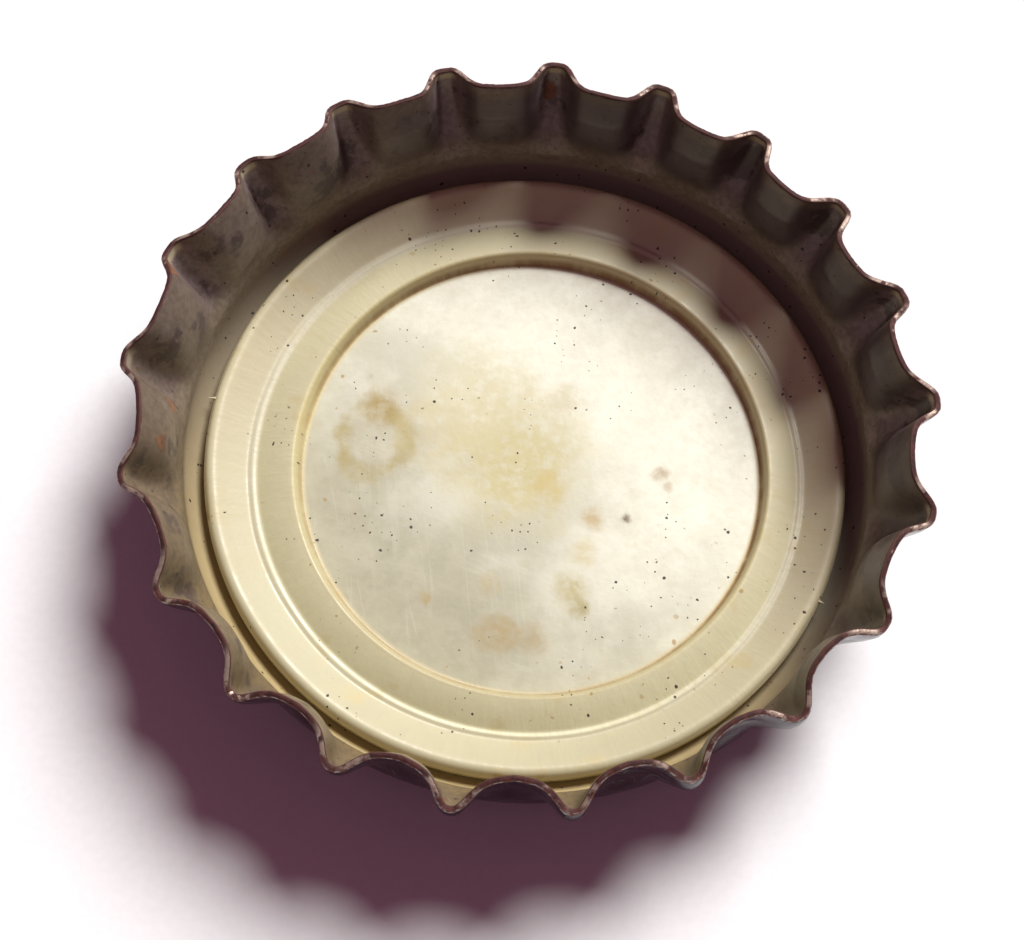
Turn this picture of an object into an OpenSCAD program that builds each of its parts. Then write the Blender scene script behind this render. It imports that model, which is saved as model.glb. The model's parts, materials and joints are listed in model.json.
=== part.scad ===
// Crown cork (bottle cap), lying upside down as it lands: printed panel on the table, teeth up.
// A formed tinplate shell with a sealing liner moulded into it. All sizes in millimetres, +Z up,
// origin at the middle of the panel's outer face.

/* [Tinplate] */
// Thickness of the tinplate
sheet_t = 0.24; // [0.2:0.01:0.3]

/* [Panel and body] */
// Inside diameter of the plain body, which slips over the mouth of a bottle
body_bore = 26.75; // [22:0.05:33]
// Height of the plain body, from the outside of the panel to the foot of the flutes
body_h = 2.3; // [2.2:0.1:3.5]
// Outside radius of the bend from the panel into the body
shoulder_r = 1.7; // [1.4:0.05:2.1]

/* [Fluted skirt] */
// Number of teeth
teeth = 21; // [17:2:27]
// Height from the outside of the panel to the edge in a valley between two teeth
skirt_h = 6.16; // [5:0.02:8]
// Share of the skirt's height at which a valley is creased and opens out
crease = 0.625; // [0.5:0.005:0.75]
// How far the edge stands out from the body in a valley
valley_flare = 0.51; // [0.2:0.01:0.8]
// How far a valley is drawn in below its crease
valley_grip = 0.06; // [0:0.01:0.12]
// How far a tooth stands out from a valley
tooth_depth = 1.17; // [0.7:0.01:1.5]
// How much lower a tooth ends than the edge in a valley
tooth_drop = 0.5; // [0:0.05:0.8]
// Half the width of a flute at its foot, as a share of the spacing of the teeth
foot_width = 0.21; // [0.17:0.005:0.25]
// Half the width of a tooth at the edge, as a share of the spacing of the teeth
edge_width = 0.175; // [0.16:0.005:0.22]
// Squareness of a flute at its foot: the higher, the flatter its back and the steeper its sides
foot_square = 3; // [2:0.1:3.6]
// Squareness of a tooth at the edge
edge_square = 3.4; // [2.4:0.1:3.8]
// Direction of the first tooth, in degrees from +X
first_tooth = -10.4; // [-20:0.1:20]

/* [Bend left by the opener] */
// How far the edge is pushed to one side
push = 0.34; // [0:0.01:0.5]
// Direction of that push, in degrees from +X
push_dir = 135; // [0:1:359]
// How far the edge is out of round
oval = 0.245; // [0:0.005:0.4]
// Direction in which the edge is widest, in degrees from +X
oval_dir = 176; // [0:1:179]
// How unevenly the teeth stand round the edge and in their depth, where 0 is even
unevenness = 1; // [0:0.1:1.3]

/* [Liner] */
// Width of bare tinplate between the liner and the body
liner_gap = 0.7; // [0.4:0.05:1]
// Clearance between the liner and the bend of the shell
liner_fit = 0.02; // [0.01:0.01:0.05]
// Thickness of the film over the middle of the panel
film_t = 0.25; // [0.15:0.05:0.4]
// Width of the sealing ring, from the liner's edge in to the film
ring_w = 3.5; // [3:0.02:5]
// Height of the inner lip above the panel
inner_lip_h = 0.87; // [0.7:0.01:1.1]
// Rounding of the inner lip
inner_lip_round = 0.13; // [0.08:0.01:0.16]
// How far the inner lip's wall leans outwards from the film
lip_lean = 0.16; // [0:0.02:0.4]
// Height of the outer lip above the panel
outer_lip_h = 1.14; // [0.8:0.01:1.4]
// Rounding of the outer lip
outer_lip_round = 0.3; // [0.15:0.01:0.35]
// Distance from the liner's edge in to the groove between the lips
groove_in = 1.75; // [1.4:0.05:2]
// Height of the bottom of the groove above the panel
groove_h = 0.36; // [0.3:0.01:0.5]
// Half width of the fine bead along the bottom of the groove
bead_w = 0.16; // [0.1:0.01:0.2]
// Height of that bead
bead_h = 0.07; // [0.03:0.01:0.1]
// How far the band between the groove and the inner lip bulges
band_bulge = 0.05; // [0:0.01:0.08]

/* [Hidden] */
$fn = 96;
bore_r = body_bore / 2;
body_r = bore_r + sheet_t;
bend_centre_r = body_r - shoulder_r;
inner_bend_r = shoulder_r - sheet_t;

// Steps of each round and bulge of the liner's section.
arc_steps = 8;
// Steps of the fluted sheet: round each tooth, from the body up to the crease, and on to the edge.
tooth_steps = 16;
crease_steps = 4;
flare_steps = 3;
ring_steps = teeth * tooth_steps;
// How the sheet changes with height: a flute leaves the body in a small bend, given as a share of
// the rise, stands out fast and levels off towards the edge. Its width and squareness change near
// its foot, and the opener's bend grows towards the edge.
foot_bend = 0.08;
ridge_growth = 2;
foot_fade = 3;
bend_growth = 2;
// The skirt is drawn a little thinner than the body, and is rooted in the body's wall.
draw_down = 0.02;
root_depth = 0.06;
skirt_t = sheet_t - draw_down;
skirt_rise = skirt_h - body_h;
// First ring of the skirt above the body, as a share of the rise.
first_rise = 0.02;
// Small steps, in degrees and as a share of the rise, over which the sheet's slope is taken.
turn_step = 0.05;
slope_step = 0.002;
// Unevenness left by the opener and by worn tooling, as waves round the edge: how many waves, how
// high they are, and the direction of the first of them. The spacing is in degrees, the bend in
// millimetres, the depth and the squareness of the teeth in shares of those.
spacing_waves = [[1, 1.03, 324], [2, 0.86, 30], [3, 0.41, 355]];
bend_waves = [[1, push, push_dir], [2, oval, oval_dir], [3, 0.055, 9], [4, 0.08, 354]];
depth_waves = [[1, 0.17, 42], [2, 0.13, 72]];
square_waves = [[1, 0.24, 90]];

// Shares of the rise at which the skirt's rings stand; the first is inside the body's wall.
rises = [
    -root_depth / skirt_rise,
    first_rise,
    for (i = [1 : crease_steps]) crease * i / crease_steps,
    for (i = [1 : flare_steps]) crease + (1 - crease) * i / flare_steps
];

// Height of a set of waves in direction a.
function swell(waves, a) = sum([for (wave = waves) wave[1] * cos(wave[0] * (a - wave[2]))]);
function sum(v, i = 0) = i < len(v) ? v[i] + sum(v, i + 1) : 0;
// Direction of a point that would stand u degrees round if the teeth were evenly spaced.
function turn(u) = u + unevenness * swell(spacing_waves, u);
// How much a thing that is 1 at the body has faded at share s of the rise.
function fade(s, growth) = pow(1 - min(s, 1), growth);
// Height of a rounded block of half width w, at distance x from its middle.
function block(x, w, square) = 1 / (1 + pow(x / w, square));
// Share of a tooth's depth: 1 on its crest and 0 in a valley.
function crest(u, s) =
    let (
        turns = teeth * (u - first_tooth) / 360,
        low = fade(s, foot_fade),
        w = edge_width + (foot_width - edge_width) * low,
        edge = edge_square * (1 + unevenness * swell(square_waves, turn(u))),
        square = edge + (foot_square - edge) * low,
        between = block(1 / 2, w, square)
    )
    (block(abs(turns - round(turns)), w, square) - between) / (1 - between);
// How far the middle of a valley and the back of a flute stand out from the body at share s.
function valley_out(s) =
    valley_flare * max(s - crease, 0) / (1 - crease)
        - valley_grip * pow(sin(180 * min(s / crease, 1)), 2);
function flute_out(s, a) =
    (valley_flare + tooth_depth * (1 + unevenness * swell(depth_waves, a)))
        * (1 - fade(s * s * (1 + foot_bend) / (s + foot_bend), ridge_growth));
// A point of the sheet's middle, u degrees round and at share s of the rise.
function middle(u, s) =
    let (
        up = max(s, 0),
        tooth = crest(u, up),
        a = turn(u),
        out = valley_out(up) * (1 - tooth) + flute_out(up, a) * tooth,
        r = bore_r + sheet_t / 2 + out + swell(bend_waves, a) * pow(up, bend_growth),
        z = body_h + s * (skirt_rise - tooth_drop * tooth * up)
    )
    [r * cos(a), r * sin(a), z];
function unit(v) = v / norm(v);
// Half of the sheet's thickness there, square to the sheet and pointing outwards.
function half_sheet(u, s) =
    skirt_t / 2 * unit(cross(
        middle(u + turn_step, s) - middle(u - turn_step, s),
        middle(u, s + slope_step) - middle(u, s - slope_step)));
// One closed ring of the skirt's outer (side = 1) or inner (side = -1) wall.
function ring(s, side) = [
    for (j = [0 : ring_steps - 1])
        let (u = first_tooth + 360 * j / ring_steps)
        middle(u, s) + side * half_sheet(u, s)
];
// The two triangles between steps j and j + 1 of the rings that start at points a and b.
function strip(a, b) = [
    for (j = [0 : ring_steps - 1])
        let (k = (j + 1) % ring_steps)
        each [[a + j, a + k, b + k], [a + j, b + k, b + j]]
];

module shell_section() {
    square([bend_centre_r, sheet_t]);
    translate([bend_centre_r, shoulder_r])
        intersection() {
            difference() {
                circle(r = shoulder_r);
                circle(r = inner_bend_r);
            }
            translate([0, -shoulder_r])
                square(shoulder_r);
        }
    translate([bore_r, shoulder_r])
        square([sheet_t, body_h - shoulder_r]);
}

module fluted_skirt() {
    walls = [for (s = rises) each concat(ring(s, 1), ring(s, -1))];
    level = 2 * ring_steps;
    top = level * (len(rises) - 1);
    polyhedron(
        points = walls,
        faces = concat(
            strip(0, ring_steps),
            [
                for (i = [0 : len(rises) - 2])
                    each concat(
                        strip(level * (i + 1), level * i),
                        strip(level * i + ring_steps, level * (i + 1) + ring_steps))
            ],
            strip(top + ring_steps, top)));
}

module crown_shell() {
    color([0.55, 0.5, 0.42])
        union() {
            rotate_extrude()
                shell_section();
            fluted_skirt();
        }
}

// Points of an arc about centre c, from angle a to angle b.
function arc(c, r, a, b) = [
    for (i = [0 : arc_steps])
        let (t = a + (b - a) * i / arc_steps)
        c + r * [cos(t), sin(t)]
];
// Direction from centre c in which a circle of radius r is touched by the line that comes from
// point p over the circle's top: side is -1 for a line from the left, 1 for one from the right.
function touch(c, r, p, side) =
    let (d = p - c, way = atan2(d[1], d[0]), all_round = side < 0 && way < 0 ? 360 : 0)
    way + all_round + side * acos(r / norm(d));

// Points between a and b of a curve that leaves a and reaches b in line with the knee.
function bulge(a, knee, b) = [
    for (i = [1 : arc_steps - 1])
        let (t = i / arc_steps)
        (1 - t) * (1 - t) * a + 2 * t * (1 - t) * knee + t * t * b
];

// Half section of the liner: film, inner lip, beaded groove and outer lip, closed by the underside.
module liner_section() {
    edge_r = bore_r - liner_gap;
    film_edge = [edge_r - ring_w, sheet_t + film_t];
    inner_lip = [
        film_edge[0] + lip_lean + inner_lip_round,
        sheet_t + inner_lip_h - inner_lip_round
    ];
    outer_lip = [edge_r - outer_lip_round, sheet_t + outer_lip_h - outer_lip_round];
    groove = [edge_r - groove_in, sheet_t + groove_h];
    bead_side = [bead_w, 0];
    bead_r = (bead_w * bead_w + bead_h * bead_h) / (2 * bead_h);
    bead_turn = asin(bead_w / bead_r);
    knee = (inner_lip + [0, inner_lip_round] + groove - bead_side) / 2 + [0, 2 * band_bulge];
    inner_lip_end = touch(inner_lip, inner_lip_round, knee, 1);
    bend = [bend_centre_r, shoulder_r];
    seat_r = inner_bend_r - liner_fit;
    polygon(concat(
        [[0, sheet_t], [0, film_edge[1]], film_edge],
        arc(inner_lip, inner_lip_round,
            touch(inner_lip, inner_lip_round, film_edge, -1), inner_lip_end),
        bulge(inner_lip + inner_lip_round * [cos(inner_lip_end), sin(inner_lip_end)],
            knee, groove - bead_side),
        arc(groove + [0, bead_h - bead_r], bead_r, 90 + bead_turn, 90 - bead_turn),
        arc(outer_lip, outer_lip_round,
            touch(outer_lip, outer_lip_round, groove + bead_side, -1), 0),
        arc(bend, seat_r, -acos((edge_r - bend_centre_r) / seat_r), -90),
        [[bend_centre_r, sheet_t]]));
}

module liner() {
    color([0.85, 0.8, 0.66])
        rotate_extrude()
            liner_section();
}

crown_shell();
liner();
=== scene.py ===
import json
import math
import bmesh
import bpy
import numpy as np
from mathutils import Matrix, Vector


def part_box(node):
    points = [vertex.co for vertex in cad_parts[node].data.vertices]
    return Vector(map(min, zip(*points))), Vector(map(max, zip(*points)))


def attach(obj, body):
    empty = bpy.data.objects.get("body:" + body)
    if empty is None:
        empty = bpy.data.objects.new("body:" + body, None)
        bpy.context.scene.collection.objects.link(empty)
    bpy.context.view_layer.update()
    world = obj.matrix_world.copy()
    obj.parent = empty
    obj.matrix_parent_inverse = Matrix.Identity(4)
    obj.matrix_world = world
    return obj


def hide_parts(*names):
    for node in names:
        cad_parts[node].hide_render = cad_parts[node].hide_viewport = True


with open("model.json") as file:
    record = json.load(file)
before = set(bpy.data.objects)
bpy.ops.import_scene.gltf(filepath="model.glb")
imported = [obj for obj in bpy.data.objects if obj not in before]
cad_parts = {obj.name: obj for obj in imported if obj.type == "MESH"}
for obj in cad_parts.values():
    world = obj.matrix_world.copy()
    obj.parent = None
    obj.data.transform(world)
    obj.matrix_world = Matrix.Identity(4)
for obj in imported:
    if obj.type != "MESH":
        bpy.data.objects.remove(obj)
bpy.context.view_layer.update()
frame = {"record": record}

# ------------------------------------------------------------------------------------------------
# Crown shell. One disc of tinplate, drawn and fluted in a single stroke: flat panel, round
# shoulder, short plain body and a skirt of teeth. Gold lacquer inside, dark gloss paint outside,
# bare steel along the cut edge, which an opener has bent a little out of round.
MM = 0.001
mounts = {mount["name"]: mount for mount in frame["record"]["mounts"]}
bore_r = mounts["bottle_mouth"]["dims"]["r_mm"]
sheet_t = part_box("liner")[0].z / MM
sheet_stretch = 0.02
skirt_t = sheet_t - sheet_stretch
shoulder_r = 1.7
panel_middle_r = 1.5
panel_bow = 0.03
body_h = 2.3
body_r = bore_r + sheet_t
bend_centre_r = body_r - shoulder_r
teeth = 21
first_tooth = -10.4
skirt_rise = 6.16 - body_h
crease = 0.625
valley_flare = 0.51
valley_grip = 0.06
tooth_depth = 1.17
tooth_drop = 0.5
foot_width, edge_width = 0.21, 0.175
foot_square, edge_square = 3.0, 3.4
square_swing, square_way = 0.8, 90
tooth_growth = 3.0
foot_bend = 0.08
ridge_growth = 2.0
bend_growth = 2.0
edge_bevel = 0.035
nick_depth = 0.06
edge_wander = 0.05
tooth_steps, skirt_steps, shoulder_steps = 32, 40, 12
# Unevenness round the edge: how many waves, their size and the direction of the first.
spacing_waves = [(1, 1.03, 324), (2, 0.86, 30), (3, 0.41, 355)]
bend_waves = [(1, 0.34, 135), (2, 0.245, -4), (3, 0.055, 9), (4, 0.08, -6)]
depth_waves = [(1, 0.17, 42), (2, 0.13, 72)]
# Each tooth comes out of worn tooling a little differently.
tooth_luck = np.random.default_rng(21)
depth_share = 1 - 0.04 * tooth_luck.random(teeth)
width_share = 1 - 0.06 * tooth_luck.random(teeth)


def waves(rows, degrees):
    return sum(size * np.cos(np.radians(count * (degrees - way))) for count, size, way in rows)


def ripple(degrees, z, seed, size, longest):
    """A smooth random unevenness round the cap, from 0 to -size."""
    luck = np.random.default_rng(seed)
    total = 0
    for _ in range(7):
        count = luck.integers(2, longest)
        lift, phase = luck.uniform(-0.6, 0.6), luck.uniform(0, 360)
        total = total + np.cos(np.radians(count * degrees + phase + 57 * lift * z))
    return -size * (0.5 + total / 14)


def tooth_crest(u, up, degrees):
    """How far a point belongs to a tooth: 0 midway between teeth, 1 along a tooth's ridge."""
    pitch_share = np.abs((teeth * (u - first_tooth) / 360 + 0.5) % 1 - 0.5)
    tooth = np.round(teeth * (u - first_tooth) / 360).astype(int) % teeth
    low = (1 - np.minimum(up, 1)) ** tooth_growth
    width = (edge_width + (foot_width - edge_width) * low) * width_share[tooth]
    square = edge_square + square_swing * np.cos(np.radians(degrees - square_way))
    square = square + (foot_square - square) * low
    valley = 1 / (1 + (0.5 / width) ** square)
    return (1 / (1 + (pitch_share / width) ** square) - valley) / (1 - valley)


def sheet_middle(u, rise):
    """Middle of the skirt's sheet, u degrees round and at a share of the skirt's rise."""
    up = np.maximum(rise, 0)
    degrees = u + waves(spacing_waves, u)
    crest = tooth_crest(u, up, degrees)
    tooth = np.round(teeth * (u - first_tooth) / 360).astype(int) % teeth
    deep = tooth_depth * (1 + waves(depth_waves, degrees)) * depth_share[tooth]
    flare = np.maximum(up - crease, 0) / (1 - crease)
    valley = valley_flare * flare - valley_grip * np.sin(np.pi * np.minimum(up / crease, 1)) ** 2
    bent = np.minimum(up * up * (1 + foot_bend) / (up + foot_bend), 1)
    ridge = (valley_flare + deep) * (1 - (1 - bent) ** ridge_growth)
    r = bore_r + sheet_t / 2 + valley + (ridge - valley) * crest
    r = r + waves(bend_waves, degrees) * up**bend_growth
    r = r + ripple(degrees, up, 5, edge_wander, 23) * up
    z = body_h + rise * (skirt_rise - tooth_drop * crest * up)
    way = np.radians(degrees)
    return np.stack([r * np.cos(way), r * np.sin(way), z], axis=-1), crest


def shell_rows():
    """Rows of points round the cap, from the panel's outer middle over the edge to its inner
    middle. Each has its side (1 outside, 0 cut edge, -1 inside), its rise and its teeth's crests."""
    u = first_tooth + np.arange(teeth * tooth_steps) * 360 / (teeth * tooth_steps)
    way = np.radians(u + waves(spacing_waves, u))
    none = np.zeros_like(u)

    def turned(r, z):
        return np.stack([r * np.cos(way), r * np.sin(way), z + none], axis=-1)

    outside, inside = [], []
    for r in np.linspace(panel_middle_r, bend_centre_r, 7)[:-1]:
        bow = panel_bow * (1 - (r / bend_centre_r) ** 2)
        outside.append((turned(r, bow), 0.0, none))
        inside.append((turned(r, sheet_t), 0.0, none))
    for angle in np.radians(np.linspace(-90, 0, shoulder_steps)):
        for rows, radius in ((outside, shoulder_r), (inside, shoulder_r - sheet_t)):
            r, z = bend_centre_r + radius * math.cos(angle), shoulder_r + radius * math.sin(angle)
            rows.append((turned(r, z), 0.0, none))
    for z in np.linspace(shoulder_r, body_h, 4)[1:-1]:
        outside.append((turned(body_r, z), 0.0, none))
        inside.append((turned(bore_r, z), 0.0, none))
    bevel_rise = edge_bevel / skirt_rise
    rises = np.append(np.linspace(0.0, 1 - bevel_rise, skirt_steps), 1.0)
    nick = np.clip(ripple(u, 0, 11, 1.0, 400) + 0.25, -1, 0)
    for rise in rises:
        middle, crest = sheet_middle(u, rise)
        along = sheet_middle(u + 0.05, rise)[0] - sheet_middle(u - 0.05, rise)[0]
        upward = sheet_middle(u, rise + 0.002)[0] - sheet_middle(u, rise - 0.002)[0]
        square = np.cross(along, upward)
        square /= np.linalg.norm(square, axis=-1, keepdims=True)
        upward /= np.linalg.norm(upward, axis=-1, keepdims=True)
        thickness = np.interp(rise, [0, 0.1], [sheet_t, skirt_t])
        half = thickness / 2 - (edge_bevel if rise == 1.0 else 0)
        middle = middle + upward * (nick_depth * nick * max(0, (rise - 0.97) / 0.03))[:, None]
        outside.append((middle + half * square, rise, crest))
        inside.append((middle - half * square, rise, crest))
        last = (middle, rise, crest)
    rows = [(p, 1.0, rise, crest) for p, rise, crest in outside]
    rows.append((last[0], 0.0, last[1], last[2]))
    rows += [(p, -1.0, rise, crest) for p, rise, crest in reversed(inside)]
    return rows


def revolved_mesh(name, rows, low_pole, high_pole, values):
    """Closes rows of points round an axis into one mesh, with a pole at each end. values holds one
    number for each row or point, by attribute name."""
    count = len(rows[0])
    points = np.concatenate([np.array([low_pole]), *rows, np.array([high_pole])]) * MM
    faces = []
    for i in range(count):
        j = (i + 1) % count
        faces.append((0, 1 + j, 1 + i))
    for row in range(len(rows) - 1):
        a, b = 1 + row * count, 1 + (row + 1) * count
        for i in range(count):
            j = (i + 1) % count
            faces.append((a + i, a + j, b + j, b + i))
    top = 1 + (len(rows) - 1) * count
    for i in range(count):
        j = (i + 1) % count
        faces.append((top + i, top + j, len(points) - 1))
    mesh = bpy.data.meshes.new(name)
    mesh.from_pydata(points.tolist(), [], faces)
    for key, numbers in values.items():
        layer = mesh.attributes.new(key, "FLOAT", "POINT")
        layer.data.foreach_set("value", np.asarray(numbers, np.float32))
    mesh.polygons.foreach_set("use_smooth", [True] * len(mesh.polygons))
    piece = bpy.data.objects.new(name, mesh)
    bpy.context.scene.collection.objects.link(piece)
    return piece


rows = shell_rows()
count = len(rows[0][0])
shell = revolved_mesh(
    "tinplate_crown",
    [row[0] for row in rows],
    (0, 0, panel_bow),
    (0, 0, sheet_t),
    {
        "rise": np.concatenate([[0], *[np.full(count, row[2]) for row in rows], [0]]),
        "crest": np.concatenate([[0], *[row[3] for row in rows], [0]]),
    },
)


def add(tree, kind, inputs=None, **settings):
    """A new node of a kind, with its settings and its inputs set or linked."""
    made = tree.nodes.new("ShaderNode" + kind)
    for name, value in settings.items():
        setattr(made, name, value)
    for name, value in (inputs or {}).items():
        if isinstance(value, bpy.types.NodeSocket):
            tree.links.new(value, made.inputs[name])
        else:
            made.inputs[name].default_value = value
    return made


def maths(tree, operation, a, b=0.0, clamp=False):
    return add(tree, "Math", {0: a, 1: b}, operation=operation, use_clamp=clamp).outputs[0]


def times(tree, *factors):
    product = factors[0]
    for factor in factors[1:]:
        product = maths(tree, "MULTIPLY", product, factor)
    return product


def ramp(tree, value, low, high, out_low=0.0, out_high=1.0):
    """A smooth step of value from low to high."""
    inputs = {"Value": value, "From Min": low, "From Max": high}
    inputs.update({"To Min": out_low, "To Max": out_high})
    return add(tree, "MapRange", inputs, interpolation_type="SMOOTHSTEP").outputs[0]


def blend(tree, share, a, b):
    """Colour a, with colour b over it by a share."""
    return add(tree, "Mix", {0: share, 6: a, 7: b}, data_type="RGBA").outputs[2]


def scaled(tree, vector, factor):
    return add(tree, "VectorMath", {0: vector, "Scale": factor}, operation="SCALE").outputs[0]


def summed(tree, a, b):
    return add(tree, "VectorMath", {0: a, 1: b}, operation="ADD").outputs[0]


def effect_group(name, inputs, outputs):
    """An empty shader node group: (tree, its input sockets by name, its output node)."""
    tree = bpy.data.node_groups.new(name, "ShaderNodeTree")
    for socket, kind, value in inputs:
        made = tree.interface.new_socket(socket, in_out="INPUT", socket_type="NodeSocket" + kind)
        if value is not None:
            made.default_value = value
    for socket, kind in outputs:
        tree.interface.new_socket(socket, in_out="OUTPUT", socket_type="NodeSocket" + kind)
    entry = tree.nodes.new("NodeGroupInput")
    leave = tree.nodes.new("NodeGroupOutput")
    return tree, entry.outputs, leave.inputs


def use(tree, group, inputs=None):
    return add(tree, "Group", inputs, node_tree=group).outputs


def place_on_cap():
    """Where a point lies on the cap, in millimetres: itself, round the wall with its height pressed
    together, round the axis by its radius, its radius and its height."""
    tree, _, out = effect_group(
        "place on the cap",
        [],
        [
            ("Point", "Vector"),
            ("Wall", "Vector"),
            ("Spoke", "Vector"),
            ("Radius", "Float"),
            ("Height", "Float"),
        ],
    )
    own = add(tree, "TexCoord").outputs["Object"]
    point = scaled(tree, own, 1 / MM)
    flat = add(tree, "VectorMath", {0: point, 1: (1, 1, 0)}, operation="MULTIPLY").outputs[0]
    radius = add(tree, "VectorMath", {0: flat}, operation="LENGTH").outputs["Value"]
    outward = add(tree, "VectorMath", {0: flat}, operation="NORMALIZE").outputs[0]
    ring = scaled(tree, outward, bore_r)
    height = add(tree, "SeparateXYZ", {0: point}).outputs[2]
    wall_z = add(tree, "CombineXYZ", {2: times(tree, height, 0.22)}).outputs[0]
    spoke_z = add(tree, "CombineXYZ", {2: times(tree, radius, 0.3)}).outputs[0]
    for name, socket in (
        ("Point", point),
        ("Wall", summed(tree, ring, wall_z)),
        ("Spoke", summed(tree, ring, spoke_z)),
        ("Radius", radius),
        ("Height", height),
    ):
        tree.links.new(socket, out[name])
    return tree


def cloud_effect():
    """Soft uneven patches: noise cut to a mask between Low and High."""
    tree, given, out = effect_group(
        "cloudy patches",
        [
            ("Vector", "Vector", None),
            ("Scale", "Float", 1.0),
            ("Detail", "Float", 5.0),
            ("Low", "Float", 0.4),
            ("High", "Float", 0.6),
            ("Seed", "Float", 0.0),
        ],
        [("Mask", "Float")],
    )
    inputs = {name: given[name] for name in ("Vector", "Scale", "Detail")}
    inputs.update({"W": given["Seed"], "Roughness": 0.58})
    noise = add(tree, "TexNoise", inputs, noise_dimensions="4D")
    tree.links.new(ramp(tree, noise.outputs[0], given["Low"], given["High"]), out["Mask"])
    return tree


def speck_effect(name, dimensions):
    """Separate specks of uneven size: one in each cell of Spacing, for a Share of the cells."""
    tree, given, out = effect_group(
        name,
        [
            ("Vector", "Vector", None),
            ("Spacing", "Float", 1.0),
            ("Size", "Float", 0.1),
            ("Share", "Float", 0.5),
            ("Seed", "Float", 0.0),
        ],
        [("Mask", "Float")],
    )
    per_mm = maths(tree, "DIVIDE", 1.0, given["Spacing"])
    wobble_scale = maths(tree, "DIVIDE", 0.5, given["Size"])
    wobble = add(tree, "TexNoise", {"Vector": given["Vector"], "Scale": wobble_scale})
    shift = scaled(tree, wobble.outputs["Color"], times(tree, given["Size"], 1.3))
    elsewhere = scaled(tree, (17.3, 9.1, 0), given["Seed"])
    moved = summed(tree, summed(tree, given["Vector"], shift), elsewhere)
    inputs = {"Vector": moved, "Scale": per_mm}
    cells = add(tree, "TexVoronoi", inputs, voronoi_dimensions=dimensions)
    luck = add(tree, "SeparateColor", {0: cells.outputs["Color"]}).outputs
    uneven = maths(tree, "ADD", times(tree, maths(tree, "POWER", luck[1], 3.0), 0.75), 0.35)
    reach = times(tree, given["Size"], per_mm, uneven)
    spot = ramp(tree, maths(tree, "DIVIDE", cells.outputs["Distance"], reach), 1.0, 0.6)
    chosen = maths(tree, "LESS_THAN", luck[0], given["Share"])
    tree.links.new(times(tree, spot, chosen), out["Mask"])
    return tree


def scratch_effect():
    """Fine hair scratches: thin level lines of a noise that is stretched along the scratch."""
    tree, given, out = effect_group(
        "hair scratches",
        [
            ("Vector", "Vector", None),
            ("Turn", "Float", 0.0),
            ("Scale", "Float", 1.0),
            ("Width", "Float", 0.02),
            ("Share", "Float", 0.5),
        ],
        [("Mask", "Float")],
    )
    inputs = {"Vector": given["Vector"], "Angle": given["Turn"]}
    turned = add(tree, "VectorRotate", inputs).outputs[0]
    stretch = {0: turned, 1: (0.07, 1.7, 0.3)}
    drawn = add(tree, "VectorMath", stretch, operation="MULTIPLY").outputs[0]
    noise = add(tree, "TexNoise", {"Vector": drawn, "Scale": given["Scale"], "Detail": 1.0})
    level = maths(tree, "ABSOLUTE", maths(tree, "SUBTRACT", noise.outputs[0], 0.5))
    line = ramp(tree, maths(tree, "DIVIDE", level, given["Width"]), 1.0, 0.2)
    coarser = times(tree, given["Scale"], 0.6)
    where = add(tree, "TexNoise", {"Vector": turned, "Scale": coarser}).outputs[0]
    kept = ramp(tree, maths(tree, "ADD", where, given["Share"]), 0.95, 1.1)
    tree.links.new(times(tree, line, kept), out["Mask"])
    return tree


PLACE = place_on_cap()
CLOUD = cloud_effect()
SPECKS = speck_effect("scattered specks", "3D")
FLAT_SPECKS = speck_effect("specks on a flat face", "2D")
SCRATCHES = scratch_effect()


def patches(tree, vector, scale, low, high, seed=0.0, detail=5.0):
    """Mask of soft uneven patches."""
    inputs = {"Vector": vector, "Scale": scale, "Detail": detail}
    inputs.update({"Low": low, "High": high, "Seed": seed})
    return use(tree, CLOUD, inputs)["Mask"]


def specks(tree, group, vector, spacing, size, share, seed=0.0):
    """Mask of separate specks."""
    inputs = {"Vector": vector, "Spacing": spacing, "Size": size, "Share": share, "Seed": seed}
    return use(tree, group, inputs)["Mask"]


def scratches(tree, vector, turn, scale, width, share):
    """Mask of fine hair scratches."""
    inputs = {"Vector": vector, "Turn": turn, "Scale": scale, "Width": width, "Share": share}
    return use(tree, SCRATCHES, inputs)["Mask"]


def finish_material(colour, roughness, height=None, metallic=0.0, bump=0.02, **constants):
    """Principled material whose colour, roughness, metal and height come from a tree of effects."""
    tree = colour.id_data
    shader = tree.nodes["Principled BSDF"]
    for key, value in (("Base Color", colour), ("Roughness", roughness), ("Metallic", metallic)):
        if isinstance(value, bpy.types.NodeSocket):
            tree.links.new(value, shader.inputs[key])
        else:
            shader.inputs[key].default_value = value
    for key, value in constants.items():
        shader.inputs[key.replace("_", " ")].default_value = value
    if height is not None:
        relief = add(tree, "Bump", {"Height": height, "Strength": 1.0, "Distance": bump * MM})
        tree.links.new(relief.outputs[0], shader.inputs["Normal"])


def new_material(name):
    material = bpy.data.materials.new(name)
    material.use_nodes = True
    return material, material.node_tree


# Sides of the cap toward which its colours change, in degrees round the axis. Most of these
# changes are painted light and shade: the key light comes from about 63 degrees, so the near and
# left walls face it, and the far, shaded and rear sides lie in its shade.
near_side, far_side, shaded_side, left_side, rear_side, darker_side = 255, 50, 45, 155, 85, 330


def side_share(tree, point, degrees, reach):
    """How far a point lies toward one side of the cap: 1 at the reach, -1 opposite."""
    way = (math.cos(math.radians(degrees)), math.sin(math.radians(degrees)), 0)
    across = add(tree, "VectorMath", {0: point, 1: way}, operation="DOT_PRODUCT").outputs["Value"]
    return maths(tree, "DIVIDE", across, reach)


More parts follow.
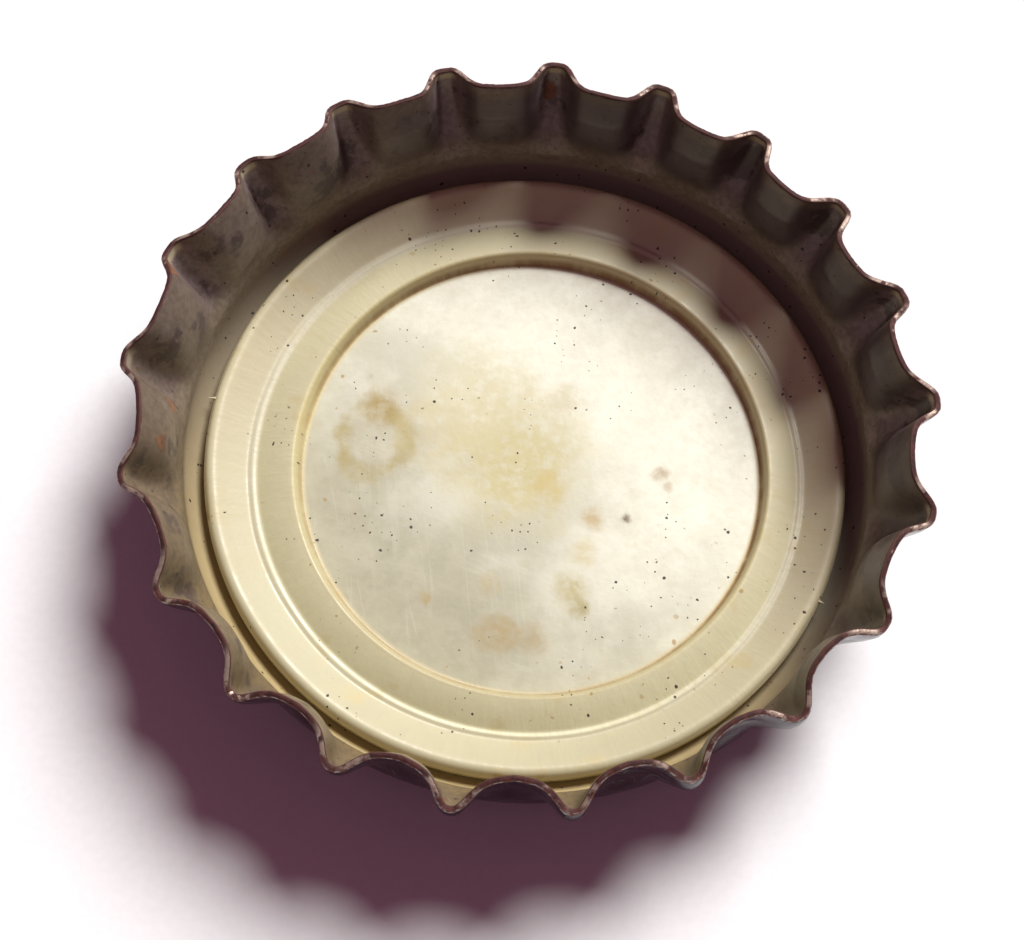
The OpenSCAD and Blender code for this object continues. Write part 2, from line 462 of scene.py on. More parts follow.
def gold_lacquer():
    """Thin gold lacquer over tinplate, gone dull brown, with rust in blotches and freckles and all
    along the edge. Much of the rest is painted light and shade: paler low down, at the teeth's
    feet and in the crevice by the liner, golden on the near side and lighter on the left, which
    face the key light, darker and violet high on the far side in its shade, pale along the rear
    ridges, and with painted glints inside the teeth's tips."""
    material, tree = new_material("gold_lacquer")
    at = use(tree, PLACE)
    rise = add(tree, "Attribute", attribute_name="rise").outputs["Fac"]
    crest = add(tree, "Attribute", attribute_name="crest").outputs["Fac"]
    dull = patches(tree, at["Point"], 0.45, 0.38, 0.62)
    streak = patches(tree, at["Wall"], 1.6, 0.42, 0.66, seed=3.0)
    patchy = patches(tree, at["Point"], 1.1, 0.3, 0.62, seed=8.0)
    colour = blend(tree, dull, (0.165, 0.122, 0.09, 1), (0.115, 0.085, 0.068, 1))
    near = ramp(tree, side_share(tree, at["Point"], near_side, bore_r), -0.1, 0.9)
    colour = blend(tree, times(tree, streak, 0.4), colour, (0.075, 0.05, 0.043, 1))
    # Paler low on the wall and at the teeth's feet: painted light lifting the shade there. It is
    # golden on the near side and pale grey at the feet on the far side.
    foot = times(tree, crest, ramp(tree, rise, 0.3, 0.1))
    low = ramp(tree, at["Height"], 3.3, 2.2)
    paler_share = times(tree, maths(tree, "MAXIMUM", foot, low), ramp(tree, patchy, 0.0, 1.0, 0.55, 0.9))
    far = ramp(tree, side_share(tree, at["Point"], far_side, bore_r), -0.1, 0.8)
    # Lighter toward the left side, which faces the key light: painted light.
    left = ramp(tree, side_share(tree, at["Point"], left_side, bore_r), 0.2, 0.95)
    colour = blend(tree, times(tree, left, 0.38), colour, (0.26, 0.21, 0.18, 1))
    painted_light_colour = blend(tree, near, (0.26, 0.215, 0.16, 1), (0.155, 0.12, 0.048, 1))
    painted_light_colour = blend(tree, times(tree, foot, far), painted_light_colour, (0.40, 0.36, 0.31, 1))
    colour = blend(tree, paler_share, colour, painted_light_colour)
    # A golden tint on the near side, which faces the key light: painted light.
    colour = blend(tree, times(tree, near, 0.6), colour, (0.18, 0.12, 0.048, 1))
    # Darker and violet high on the far side, which lies in the key's shade: painted shade.
    upper = times(tree, ramp(tree, at["Height"], 2.6, 3.6), ramp(tree, rise, 0.93, 0.8))
    colour = blend(tree, times(tree, far, upper, 0.8), colour, (0.078, 0.055, 0.068, 1))
    # Pale along the ridges on the rear side, where they catch light in the shade: painted light.
    behind = ramp(tree, side_share(tree, at["Point"], rear_side, bore_r), -0.25, 0.35)
    ridge = times(tree, ramp(tree, crest, 0.3, 0.8), ramp(tree, rise, 0.95, 0.85))
    ridge = times(tree, ridge, ramp(tree, rise, 0.1, 0.25))
    colour = blend(tree, times(tree, ridge, behind, 0.8), colour, (0.26, 0.2, 0.21, 1))
    # Darker toward the side at 330 degrees.
    darker_share = ramp(tree, side_share(tree, at["Point"], darker_side, bore_r), 0.8, 1.05)
    colour = blend(tree, times(tree, darker_share, 0.5), colour, (0.10, 0.066, 0.05, 1))
    stain = patches(tree, at["Point"], 0.75, 0.53, 0.6, seed=12.0, detail=7.0)
    colour = blend(tree, times(tree, stain, upper, 0.85), colour, (0.055, 0.032, 0.036, 1))
    grainy = patches(tree, at["Point"], 4.0, 0.4, 0.62, seed=14.0, detail=6.0)
    colour = blend(tree, times(tree, grainy, 0.42), colour, (0.08, 0.058, 0.042, 1))
    # Paler in the crevice by the liner, golden on the near side and grey on the far side: painted
    # light lifting the crevice's shade.
    crevice_light = ramp(tree, at["Height"], 2.0, 1.3)
    crevice_light_colour = blend(tree, near, (0.27, 0.225, 0.155, 1), (0.46, 0.36, 0.18, 1))
    crevice_light_colour = blend(tree, far, crevice_light_colour, (0.28, 0.26, 0.21, 1))
    colour = blend(tree, times(tree, crevice_light, 0.9), colour, crevice_light_colour)
    # Painted glints inside the teeth's tips, where light grazes them, fewer toward the near side.
    painted_tip_glint = times(tree, ramp(tree, crest, 0.75, 0.95), ramp(tree, rise, 0.84, 0.9))
    painted_tip_glint = times(tree, painted_tip_glint, ramp(tree, rise, 0.97, 0.94))
    painted_tip_glint = times(tree, painted_tip_glint, ramp(tree, near, 0.0, 0.5, 0.85, 0.1))
    colour = blend(tree, painted_tip_glint, colour, (0.50, 0.44, 0.30, 1))
    blotch = specks(tree, SPECKS, at["Point"], spacing=2.6, size=0.55, share=0.3, seed=2.0)
    freckle = specks(tree, SPECKS, at["Point"], spacing=0.7, size=0.12, share=0.35, seed=5.0)
    rust = maths(tree, "MAXIMUM", blotch, times(tree, freckle, 0.7))
    uneven = add(tree, "TexNoise", {"Vector": at["Point"], "Scale": 1.3, "Detail": 5.0})
    shifted = summed(tree, uneven.outputs["Color"], at["Point"])
    # The larger spots: way round the cap, radius, height and size. The noise is 0.5 on average.
    spots = [
        (143, 12.95, 1.6, 0.4),
        (181, 13.7, 3.7, 0.7),
        (189, 13.8, 4.8, 0.45),
        (222, 13.7, 3.4, 0.8),
        (262, 14.3, 4.2, 0.4),
    ]
    for degrees, r, z, size in spots:
        way = math.radians(degrees)
        centre = (r * math.cos(way) + 0.5, r * math.sin(way) + 0.5, z + 0.5)
        reach = add(tree, "VectorMath", {0: shifted, 1: centre}, operation="DISTANCE")
        spot = ramp(tree, reach.outputs["Value"], size, 0.4 * size)
        rust = maths(tree, "MAXIMUM", rust, times(tree, spot, 0.75))
    rim_noise = patches(tree, at["Point"], 2.2, 0.3, 0.7, seed=4.0)
    rim = ramp(tree, maths(tree, "ADD", rise, times(tree, rim_noise, 0.02)), 0.98, 1.0)
    rust_tone = patches(tree, at["Point"], 3.5, 0.35, 0.65)
    rust_colour = blend(tree, rust_tone, (0.30, 0.105, 0.03, 1), (0.09, 0.028, 0.016, 1))
    colour = blend(tree, times(tree, rust, 0.8), colour, rust_colour)
    colour = blend(tree, rim, colour, (0.08, 0.026, 0.022, 1))
    speck = specks(tree, SPECKS, at["Point"], spacing=0.34, size=0.08, share=0.6, seed=9.0)
    colour = blend(tree, speck, colour, (0.02, 0.012, 0.01, 1))
    dirt = maths(tree, "MAXIMUM", maths(tree, "MAXIMUM", rust, rim), paler_share, True)
    metal = ramp(tree, dirt, 0.0, 1.0, 0.12, 0.0)
    gloss = maths(tree, "ADD", times(tree, dull, 0.12), ramp(tree, dirt, 0.0, 1.0, 0.36, 0.7))
    grain = add(tree, "TexNoise", {"Vector": at["Point"], "Scale": 9.0, "Detail": 4.0}).outputs[0]
    height = times(tree, grain, 0.35)
    finish_material(colour, gloss, height, metal, 0.02)
    return material


def dark_paint():
    """Stoved gloss paint, nearly black, scuffed on the panel and chipped along the teeth."""
    material, tree = new_material("dark_gloss_paint")
    at = use(tree, PLACE)
    rise = add(tree, "Attribute", attribute_name="rise").outputs["Fac"]
    crest = add(tree, "Attribute", attribute_name="crest").outputs["Fac"]
    tone = patches(tree, at["Point"], 0.5, 0.35, 0.65)
    colour = blend(tree, tone, (0.012, 0.009, 0.013, 1), (0.022, 0.015, 0.016, 1))
    paler_share = patches(tree, at["Point"], 1.4, 0.5, 0.75, seed=6.0)
    colour = blend(tree, times(tree, paler_share, 0.2), colour, (0.12, 0.1, 0.095, 1))
    long_marks = scratches(tree, at["Point"], turn=0.5, scale=0.9, width=0.012, share=0.5)
    short_marks = scratches(tree, at["Point"], turn=2.1, scale=1.3, width=0.012, share=0.45)
    marks = maths(tree, "MAXIMUM", long_marks, short_marks)
    chip_noise = patches(tree, at["Point"], 3.0, 0.3, 0.7, seed=7.0)
    edge_reach = maths(tree, "ADD", rise, times(tree, chip_noise, 0.05))
    edge_reach = maths(tree, "ADD", edge_reach, times(tree, crest, 0.03))
    chip = ramp(tree, edge_reach, 0.985, 1.01)
    bare = patches(tree, at["Point"], 5.0, 0.45, 0.6, seed=1.0)
    bare_colour = blend(tree, bare, (0.16, 0.05, 0.03, 1), (0.42, 0.38, 0.35, 1))
    colour = blend(tree, times(tree, marks, 0.3), colour, (0.2, 0.18, 0.17, 1))
    colour = blend(tree, chip, colour, bare_colour)
    pits = specks(tree, SPECKS, at["Point"], spacing=1.6, size=0.14, share=0.3)
    colour = blend(tree, pits, colour, (0.12, 0.04, 0.02, 1))
    metal = times(tree, chip, bare, 0.8)
    worn = maths(tree, "MAXIMUM", maths(tree, "MAXIMUM", chip, pits), times(tree, paler_share, 0.4), True)
    gloss = maths(tree, "ADD", ramp(tree, worn, 0.0, 1.0, 0.16, 0.6), times(tree, marks, 0.15))
    peel = add(tree, "TexNoise", {"Vector": at["Point"], "Scale": 4.0, "Detail": 2.0}).outputs[0]
    sunk = maths(tree, "ADD", times(tree, marks, 0.3), times(tree, worn, 0.5))
    height = maths(tree, "SUBTRACT", times(tree, peel, 0.25), sunk)
    finish_material(colour, gloss, height, metal, 0.015)
    return material


def cut_edge():
    """Sheared edge of the sheet: bare steel gone reddish brown, still bright in places. The bright
    places are painted pale enough to show as glints under any light, and painted glints run
    along the teeth's flanks.
    """
    material, tree = new_material("rusty_cut_edge")
    at = use(tree, PLACE)
    # Patches of bare steel, painted pale enough to show as glints under any light.
    bright = patches(tree, at["Point"], 2.4, 0.66, 0.72, seed=2.0)
    crest = add(tree, "Attribute", attribute_name="crest").outputs["Fac"]
    # Painted glints along the teeth's flanks.
    flank = times(tree, ramp(tree, crest, 0.08, 0.35), ramp(tree, crest, 1.0, 0.8))
    patchy = patches(tree, at["Point"], 1.6, 0.44, 0.58, seed=5.0)
    bright = maths(tree, "MAXIMUM", bright, times(tree, flank, patchy, 0.7))
    tone = patches(tree, at["Point"], 5.0, 0.35, 0.65)
    rust = blend(tree, tone, (0.085, 0.025, 0.021, 1), (0.035, 0.013, 0.012, 1))
    colour = blend(tree, bright, rust, (0.50, 0.39, 0.32, 1))
    gloss = ramp(tree, bright, 0.0, 1.0, 0.7, 0.3)
    grain = add(tree, "TexNoise", {"Vector": at["Point"], "Scale": 14.0, "Detail": 3.0}).outputs[0]
    finish_material(colour, gloss, grain, times(tree, bright, 0.5), 0.02, Specular_IOR_Level=0.25)
    return material


for material in (dark_paint(), cut_edge(), gold_lacquer()):
    shell.data.materials.append(material)
edge_row = [row[1] for row in rows].index(0.0)
slots = []
for band in range(len(rows) + 1):
    slots += [0 if band < edge_row else 1 if band < edge_row + 2 else 2] * count
shell.data.polygons.foreach_set("material_index", slots)
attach(shell, "root")
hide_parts("crown_shell")

# ------------------------------------------------------------------------------------------------
# Liner. Cream plastic, dropped in hot and moulded under a punch: a film over the panel, an inner
# lip, a groove with a fine bead, and a rounded outer lip. Beer and damp have stained it.
liner_edge_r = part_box("liner")[1].x / MM
liner_fit = 0.02
pole_r = 0.6
film_t, ring_w, film_fillet = 0.25, 3.5, 0.08
film_z = sheet_t + film_t
film_r = liner_edge_r - ring_w
lip_h, lip_round, lip_lean = 0.87, 0.13, 0.16
lip_top = sheet_t + lip_h
groove_in, groove_h = 1.75, 0.36
groove_r = liner_edge_r - groove_in
groove_z = sheet_t + groove_h
bead_w, bead_h = 0.16, 0.07
band_bulge = 0.05
outer_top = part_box("liner")[1].z / MM
outer_round = 0.3
liner_steps = 480
top_step = 0.055
lip_sway, lip_waver = 0.035, 0.05
# The punch that moulded the middle stood a little to one side.
punch_x, punch_y = 0.27, -0.15
punch_r, punch_fade, punch_growth = liner_edge_r - 0.8, 2.8, 1.2


def arc(centre, radius, start, end, steps):
    angles = np.radians(np.linspace(start, end, steps + 1))
    return [(centre[0] + radius * math.cos(a), centre[1] + radius * math.sin(a)) for a in angles]


def touch(centre, radius, point, side):
    """Direction in which a line from point touches the circle's upper side."""
    dx, dz = point[0] - centre[0], point[1] - centre[1]
    way = math.degrees(math.atan2(dz, dx))
    if side < 0 and way < 0:
        way += 360
    return way + side * math.degrees(math.acos(radius / math.hypot(dx, dz)))


def liner_outline():
    """Half section of the liner: its top from the middle out, its edge, and its underside."""
    inner_lip = (film_r + lip_lean + lip_round, lip_top - lip_round)
    outer_lip = (liner_edge_r - outer_round, outer_top - outer_round)
    left, right = (groove_r - bead_w, groove_z), (groove_r + bead_w, groove_z)
    knee = ((inner_lip[0] + left[0]) / 2, (lip_top + groove_z) / 2 + 2 * band_bulge)
    bead_r = (bead_w**2 + bead_h**2) / (2 * bead_h)
    bead_turn = math.degrees(math.asin(bead_w / bead_r))
    top = [(film_r - 0.3, film_z)]
    top += arc((film_r - film_fillet, film_z + film_fillet), film_fillet, -90, -20, 4)
    wall_way = touch(inner_lip, lip_round, (film_r, film_z), -1)
    band_way = touch(inner_lip, lip_round, knee, 1)
    top += arc(inner_lip, lip_round, wall_way, band_way, 9)
    start = top[-1]
    for t in np.linspace(0, 1, 11)[1:]:
        shares = (1 - t) ** 2, 2 * t * (1 - t), t * t
        bulge = [shares[0] * start[i] + shares[1] * knee[i] + shares[2] * left[i] for i in (0, 1)]
        top.append(tuple(bulge))
    top += arc((groove_r, groove_z + bead_h - bead_r), bead_r, 90 + bead_turn, 90 - bead_turn, 8)
    top += arc(outer_lip, outer_round, touch(outer_lip, outer_round, right, -1), 0, 12)
    # Even steps along the top, its corners rounded off a little as in any moulding.
    top = np.array(top)
    way = np.append(0, np.cumsum(np.linalg.norm(np.diff(top, axis=0), axis=1)))
    even = np.linspace(0, way[-1], round(way[-1] / top_step))
    top = np.stack([np.interp(even, way, top[:, 0]), np.interp(even, way, top[:, 1])], axis=-1)
    for _ in range(2):
        top[1:-1] = (top[:-2] + 2 * top[1:-1] + top[2:]) / 4
    seat = shoulder_r - sheet_t - liner_fit
    seat_way = -math.degrees(math.acos((liner_edge_r - bend_centre_r) / seat))
    under = arc((bend_centre_r, shoulder_r), seat, seat_way, -90, 5)
    under += [(bend_centre_r, sheet_t), (6.0, sheet_t), (pole_r, sheet_t)]
    film = [(r, film_z) for r in np.linspace(pole_r, film_r - 0.4, 12)]
    return film + top.tolist() + under


def liner_rows():
    """Rows of points round the liner: its middle moved with the punch, its lips a bit uneven."""
    degrees = np.arange(liner_steps) * 360 / liner_steps
    way = np.radians(degrees)
    rows = []
    for r, z in liner_outline():
        on_top = z > sheet_t + 0.01 and r < liner_edge_r - 0.01
        raised = on_top and z > film_z + 0.01
        sway = ripple(degrees, r, 31, lip_sway, 9) if raised else 0
        radius = r + (ripple(degrees, z, 33, lip_waver, 30) if raised and r > groove_r else 0)
        off = np.clip((punch_r - r) / punch_fade, 0, 1) ** punch_growth if on_top else 0
        x, y = radius * np.cos(way) + punch_x * off, radius * np.sin(way) + punch_y * off
        rows.append(np.stack([x, y, z + sway + 0 * way], axis=-1))
    return rows


outline = liner_rows()
poles = (0, 0, sheet_t), (punch_x, punch_y, film_z)
liner = revolved_mesh("sealing_liner", outline[::-1], *poles, {})

# Slivers of moulding flash that stand out from the outer lip: (way, reach, width, bend).
slivers = [(174, 0.27, 0.1, 0.1), (338.5, 0.2, 0.13, -0.02)]
sliver_t, sliver_depth = 0.1, 0.14
root_z = outer_top - outer_round + 0.08
tip_z = outer_top - outer_round + 0.16
up = Vector((0, 0, 1))
form = bmesh.new()
form.from_mesh(liner.data)
for degrees, reach, width, bend in slivers:
    way = math.radians(degrees)
    out = Vector((math.cos(way), math.sin(way), 0))
    side = Vector((-math.sin(way), math.cos(way), 0))
    root = out * (liner_edge_r - sliver_depth) + up * root_z
    across, upright = side * width / 2, up * sliver_t / 2
    low, high = root - upright, root + upright
    corners = [low - across, low + across, high + across, high - across]
    tip = out * (liner_edge_r + reach) + side * bend + up * tip_z
    ring = [form.verts.new(corner * MM) for corner in corners]
    end = form.verts.new(tip * MM)
    made = [form.faces.new(ring)]
    made += [form.faces.new((ring[i], ring[(i + 1) % 4], end)) for i in range(4)]
    bmesh.ops.recalc_face_normals(form, faces=made)
form.to_mesh(liner.data)
form.free()


def stain_effect():
    """A dried stain: a ragged patchy disc about Centre, and the broken tide line round it."""
    tree, given, out = effect_group(
        "dried stain",
        [
            ("Vector", "Vector", None),
            ("Wander", "Vector", None),
            ("Patchy", "Float", 1.0),
            ("Broken", "Float", 1.0),
            ("Centre", "Vector", None),
            ("Size", "Float", 1.0),
            ("Ragged", "Float", 0.5),
        ],
        [("Fill", "Float"), ("Tide", "Float")],
    )
    moved = summed(tree, given["Vector"], scaled(tree, given["Wander"], given["Ragged"]))
    reach = add(tree, "VectorMath", {0: moved, 1: given["Centre"]}, operation="DISTANCE")
    share = maths(tree, "DIVIDE", reach.outputs["Value"], given["Size"])
    uneven = ramp(tree, given["Patchy"], 0.0, 1.0, 0.45, 1.0)
    tree.links.new(times(tree, ramp(tree, share, 1.05, 0.2), uneven), out["Fill"])
    band = maths(tree, "ABSOLUTE", maths(tree, "SUBTRACT", share, 0.8))
    tree.links.new(times(tree, ramp(tree, band, 0.34, 0.0), given["Broken"]), out["Tide"])
    return tree


STAIN = stain_effect()


def liner_plastic():
    """Cream plastic, with dried stains and grit. The film is white toward the key light and dull
    away from it: a painted sheen. The lips are yellower, with a painted highlight along the bead,
    painted light and shade on the near and shaded sides, and a brown line in the corner under
    the inner one."""
    material, tree = new_material("liner_plastic")
    at = use(tree, PLACE)
    point = at["Point"]
    off = maths(tree, "DIVIDE", maths(tree, "SUBTRACT", punch_r, at["Radius"]), punch_fade, True)
    off = maths(tree, "POWER", off, punch_growth)
    punch = scaled(tree, (punch_x, punch_y, 0), off)
    own = add(tree, "VectorMath", {0: point, 1: punch}, operation="SUBTRACT").outputs[0]
    own = add(tree, "VectorMath", {0: own, 1: (1, 1, 0)}, operation="MULTIPLY").outputs[0]
    own_r = add(tree, "VectorMath", {0: own}, operation="LENGTH").outputs["Value"]
    zones = add(tree, "ValToRGB", {0: maths(tree, "DIVIDE", own_r, liner_edge_r)})
    stops = [
        (film_r - 0.05, (0.64, 0.56, 0.30)),
        (film_r + 0.2, (0.66, 0.58, 0.29)),
        (film_r + 0.42, (0.64, 0.60, 0.40)),
        (groove_r - 0.3, (0.63, 0.595, 0.395)),
        # The lighter stop on the bead is a painted highlight.
        (groove_r, (0.68, 0.65, 0.50)),
        (groove_r + 0.3, (0.61, 0.565, 0.395)),
        (liner_edge_r - 0.6, (0.62, 0.57, 0.39)),
        (liner_edge_r, (0.68, 0.61, 0.40)),
    ]
    ramp_stops = zones.color_ramp.elements
    while len(ramp_stops) < len(stops):
        ramp_stops.new(0.5)
    for stop, (r, rgb) in zip(ramp_stops, stops):
        stop.position, stop.color = r / liner_edge_r, (*rgb, 1)
    cloudy = patches(tree, point, 0.3, 0.3, 0.7, seed=4.0)
    mottle = patches(tree, point, 1.3, 0.35, 0.65, seed=5.0)
    # The film is brighter toward the key light and duller away from it: a painted sheen.
    bright = side_share(tree, point, far_side, liner_edge_r)
    bright = maths(tree, "ADD", bright, ramp(tree, cloudy, 0.0, 1.0, -0.16, 0.16))
    bright = ramp(tree, bright, -0.68, 0.4)
    film = blend(tree, bright, (0.435, 0.42, 0.305, 1), (0.91, 0.92, 0.775, 1))
    film = blend(tree, times(tree, mottle, 0.2), film, (0.56, 0.53, 0.37, 1))
    flecked = patches(tree, point, 3.2, 0.45, 0.62, seed=11.0, detail=6.0)
    film = blend(tree, times(tree, flecked, 0.13), film, (0.60, 0.56, 0.40, 1))
    long_wipes = scratches(tree, point, turn=1.35, scale=0.9, width=0.02, share=0.5)
    short_wipes = scratches(tree, point, turn=0.3, scale=1.2, width=0.014, share=0.45)
    wiped = maths(tree, "MAXIMUM", long_wipes, short_wipes)
    film = blend(tree, times(tree, wiped, 0.09), film, (0.92, 0.93, 0.84, 1))
    # Stains: middle, size, colour, and how strong they are inside and along their tide line.
    stains = [
        ((-6.1, 0.4), 1.75, (0.42, 0.34, 0.12), 0.12, 0.75),
        ((-6.1, 1.9), 1.1, (0.40, 0.29, 0.09), 0.85, 0.0),
        ((-4.0, 1.0), 1.5, (0.55, 0.47, 0.22), 0.3, 0.35),
        ((-0.4, 0.2), 3.9, (0.60, 0.54, 0.27), 0.95, 0.0),
        ((-2.2, 2.6), 3.6, (0.66, 0.61, 0.37), 0.7, 0.0),
        ((1.05, -0.9), 0.95, (0.60, 0.49, 0.19), 0.75, 0.0),
        ((2.9, -2.0), 0.65, (0.52, 0.39, 0.17), 0.75, 0.0),
        ((2.6, -3.4), 0.8, (0.60, 0.52, 0.26), 0.6, 0.0),
        ((2.2, -5.0), 0.95, (0.46, 0.39, 0.15), 0.75, 0.0),
        ((2.6, -5.6), 0.6, (0.38, 0.32, 0.12), 0.8, 0.0),
        ((-0.9, -5.0), 0.65, (0.50, 0.40, 0.18), 0.55, 0.0),
        ((-3.4, -5.8), 0.4, (0.45, 0.32, 0.12), 0.8, 0.0),
        ((-0.5, -7.05), 0.95, (0.42, 0.31, 0.13), 0.7, 0.4),
        ((1.0, -7.1), 0.75, (0.42, 0.33, 0.16), 0.6, 0.2),
        ((4.7, 5.9), 2.2, (0.70, 0.66, 0.50), 0.4, 0.0),
        ((5.35, 0.15), 0.45, (0.36, 0.22, 0.08), 0.7, 0.0),
        ((5.75, -0.35), 0.3, (0.38, 0.22, 0.08), 0.8, 0.0),
        ((4.2, -1.75), 0.28, (0.16, 0.10, 0.05), 0.95, 0.0),
        ((1.3, 3.0), 1.1, (0.60, 0.53, 0.32), 0.5, 0.0),
    ]
    outline_noise = {"Vector": point, "Scale": 0.7, "Detail": 6.0, "Roughness": 0.62}
    wander = add(tree, "TexNoise", outline_noise).outputs["Color"]
    centred = {0: wander, 1: (0.5, 0.5, 0.5)}
    wander = add(tree, "VectorMath", centred, operation="SUBTRACT").outputs[0]
    patchy = patches(tree, point, 1.9, 0.3, 0.62, seed=2.0)
    broken = patches(tree, point, 0.75, 0.34, 0.58, seed=6.0)
    shared = {"Vector": point, "Wander": wander, "Patchy": patchy, "Broken": broken}
    for (x, y), size, rgb, fill, tide in stains:
        own_shape = {"Centre": (x, y, film_z), "Size": size, "Ragged": 0.6 + 0.6 * size}
        stain = use(tree, STAIN, {**shared, **own_shape})
        inside, line = times(tree, stain["Fill"], fill), times(tree, stain["Tide"], tide)
        film = blend(tree, maths(tree, "ADD", inside, line), film, (*rgb, 1))
    lips = zones.outputs[0]
    # Darker toward the shaded side: painted shade.
    far = side_share(tree, point, shaded_side, liner_edge_r)
    lips = blend(tree, ramp(tree, far, 0.1, 0.9, 0.0, 0.3), lips, (0.48, 0.40, 0.29, 1))
    # On the near side the outer band and the inner lip's face, which face the key light, are
    # darkened (painted shade), and the slope between groove and lip, turned away from it, is
    # lightened (painted light).
    near = ramp(tree, side_share(tree, point, near_side, liner_edge_r), 0.0, 0.8)
    outer = ramp(tree, own_r, groove_r - 0.2, groove_r + 0.3)
    lips = blend(tree, times(tree, outer, 0.75, near), lips, (0.47, 0.445, 0.30, 1))
    inner = maths(tree, "SUBTRACT", near, outer, True)
    lips = blend(tree, times(tree, inner, 0.7), lips, (0.72, 0.70, 0.46, 1))
    face = times(tree, ramp(tree, own_r, film_r + 0.45, film_r + 0.25), near)
    lips = blend(tree, times(tree, face, 0.85), lips, (0.42, 0.36, 0.20, 1))
    lips = blend(tree, times(tree, mottle, 0.2), lips, (0.52, 0.47, 0.29, 1))
    yellowed = patches(tree, point, 0.7, 0.53, 0.68, seed=9.0, detail=7.0)
    lips = blend(tree, times(tree, yellowed, 0.4), lips, (0.58, 0.46, 0.21, 1))
    brink = ramp(tree, own_r, liner_edge_r - 0.2, liner_edge_r - 0.03)
    brink = times(tree, brink, ramp(tree, yellowed, 0.0, 1.0, 0.2, 0.8))
    lips = blend(tree, brink, lips, (0.30, 0.20, 0.08, 1))
    colour = blend(tree, ramp(tree, own_r, film_r - 0.02, film_r - 0.25), lips, film)
    # A brown line in the corner under the inner lip, stronger toward the shaded side, where it is
    # painted shade.
    corner = maths(tree, "ABSOLUTE", maths(tree, "SUBTRACT", own_r, film_r + 0.02))
    corner_noise = patches(tree, at["Spoke"], 0.55, 0.3, 0.62)
    in_places = ramp(tree, corner_noise, 0.0, 1.0, 0.25, 1.0)
    corner_line = times(tree, ramp(tree, corner, 0.13, 0.03), in_places)
    corner_line = times(tree, corner_line, ramp(tree, far, -0.6, 0.4, 0.35, 0.85))
    colour = blend(tree, corner_line, colour, (0.30, 0.155, 0.05, 1))
    rusty = specks(tree, FLAT_SPECKS, point, spacing=1.1, size=0.15, share=0.3, seed=3.0)
    rusty = times(tree, rusty, ramp(tree, corner, 2.2, 0.2))
    colour = blend(tree, times(tree, rusty, 0.75), colour, (0.40, 0.235, 0.06, 1))
    cluster = patches(tree, point, 0.35, 0.5, 0.62, seed=7.0)
    fine = specks(tree, FLAT_SPECKS, point, spacing=0.36, size=0.075, share=0.4, seed=1.0)
    coarse = specks(tree, FLAT_SPECKS, point, spacing=1.3, size=0.1, share=0.3)
    gathered = ramp(tree, cluster, 0.0, 1.0, 0.36, 1.0)
    grit = times(tree, maths(tree, "MAXIMUM", fine, coarse), gathered)
    grit = ramp(tree, grit, 0.36, 0.55)
    colour = blend(tree, times(tree, grit, 0.95), colour, (0.045, 0.03, 0.022, 1))
    bead = maths(tree, "ABSOLUTE", maths(tree, "SUBTRACT", own_r, groove_r))
    flow = patches(tree, at["Spoke"], 2.5, 0.3, 0.7)
    off_film = ramp(tree, own_r, film_r - 0.2, film_r)
    gloss = maths(tree, "ADD", ramp(tree, mottle, 0.0, 1.0, 0.38, 0.5), times(tree, grit, 0.3))
    gloss = maths(tree, "SUBTRACT", gloss, ramp(tree, bead, 0.3, 0.15, 0.0, 0.06))
    grain = add(tree, "TexNoise", {"Vector": point, "Scale": 5.0, "Detail": 4.0}).outputs[0]
    height = maths(tree, "ADD", times(tree, grain, 0.3), times(tree, flow, off_film, 0.25))
    finish_material(colour, gloss, height, 0.0, 0.02)
    return material


liner.data.materials.append(liner_plastic())
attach(liner, "root")
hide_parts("liner")

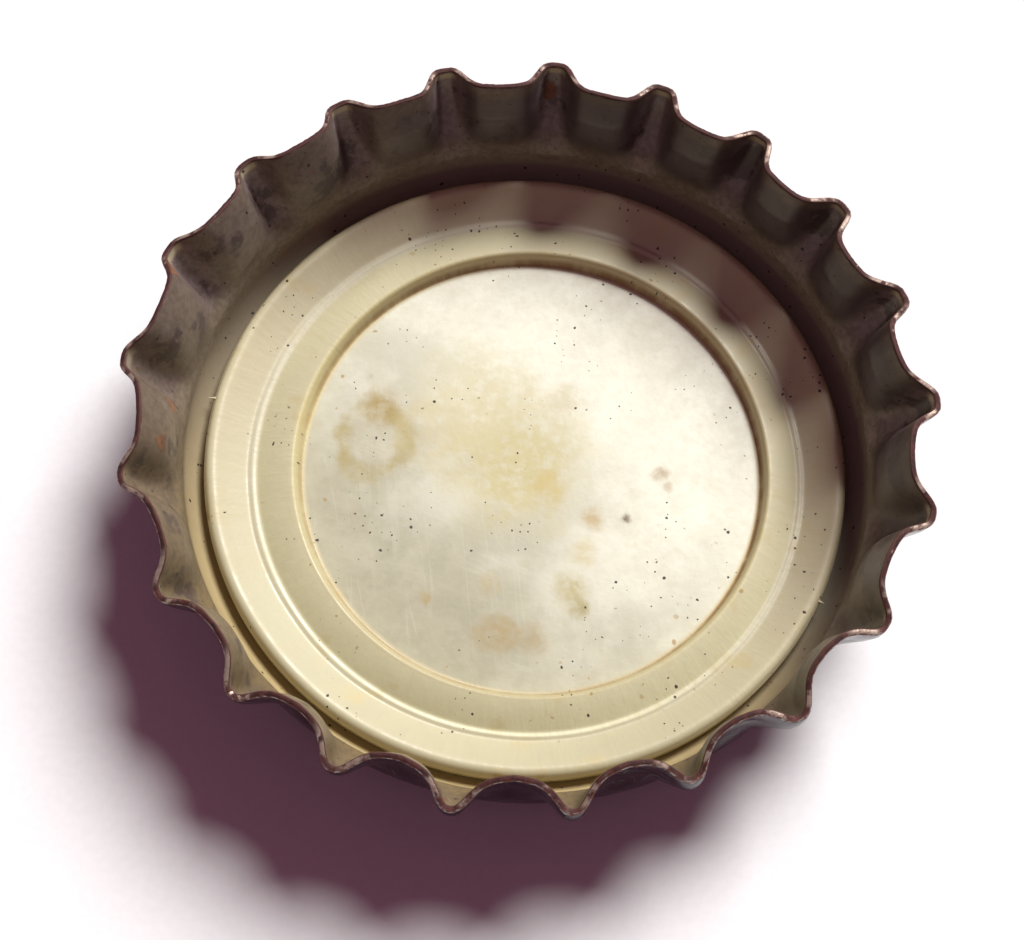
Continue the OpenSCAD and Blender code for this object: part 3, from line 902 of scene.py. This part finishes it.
# ------------------------------------------------------------------------------------------------
# Floor, light and camera. A plain pale table under a strong soft key from the upper right, with a
# weak warm violet fill, and the camera looking steeply down into the upturned cap.
bpy.ops.mesh.primitive_plane_add(size=6.0, location=(0, 0, 0))
floor = bpy.context.object
floor.name = "pale_floor"
material, tree = new_material("pale_floor")
at = use(tree, PLACE)
fibre = add(tree, "TexNoise", {"Vector": at["Point"], "Scale": 3.0, "Detail": 3.0}).outputs[0]
finish_material(
    blend(tree, ramp(tree, fibre, 0.3, 0.7), (0.93, 0.935, 0.965, 1), (0.96, 0.965, 0.99, 1)),
    0.75,
    Specular_IOR_Level=0.2,
)
floor.data.materials.append(material)

key_data = bpy.data.lights.new("key", "SUN")
key_data.energy = 4.7
key_data.angle = math.radians(27)
key_data.color = (1.0, 0.985, 0.95)
key = bpy.data.objects.new("key", key_data)
key_turn, key_height = math.radians(63), math.radians(44)
key_from = Vector((math.cos(key_turn), math.sin(key_turn), math.tan(key_height)))
key.rotation_euler = key_from.to_track_quat("Z", "Y").to_euler()
bpy.context.scene.collection.objects.link(key)

world = bpy.data.worlds.new("studio")
bpy.context.scene.world = world
world.use_nodes = True
tree = world.node_tree
path = add(tree, "LightPath").outputs
dim = times(tree, path["Is Glossy Ray"], 0.25)
seen = maths(tree, "MAXIMUM", path["Is Camera Ray"], path["Is Transmission Ray"])
seen = maths(tree, "MAXIMUM", seen, dim)
fill = add(tree, "Background", {"Color": (1.0, 0.38, 0.57, 1), "Strength": 0.118})
backdrop = add(tree, "Background", {"Color": (1, 1, 1, 1), "Strength": 1.0})
mixed = add(tree, "MixShader", {0: seen, 1: fill.outputs[0], 2: backdrop.outputs[0]})
tree.links.new(mixed.outputs[0], tree.nodes["World Output"].inputs[0])

aim = Vector((-0.53, -0.82, 2.0)) * MM
distance = 66.2 * MM
elevation, roll = math.radians(68.9), math.radians(5.7)
back = Vector((0, -math.cos(elevation), math.sin(elevation)))
right = Vector((1, 0, 0))
up = back.cross(right)
camera_right = math.cos(roll) * right + math.sin(roll) * up
camera_up = back.cross(camera_right)
camera_data = bpy.data.cameras.new("camera")
camera_data.lens = 59.8
camera_data.sensor_width = 36
camera_data.clip_start = 0.001
camera = bpy.data.objects.new("camera", camera_data)
turned = Matrix((camera_right, camera_up, back)).transposed().to_4x4()
camera.matrix_world = Matrix.Translation(aim + back * distance) @ turned
bpy.context.scene.collection.objects.link(camera)
bpy.context.scene.camera = camera
bpy.context.scene.view_settings.view_transform = "Standard"
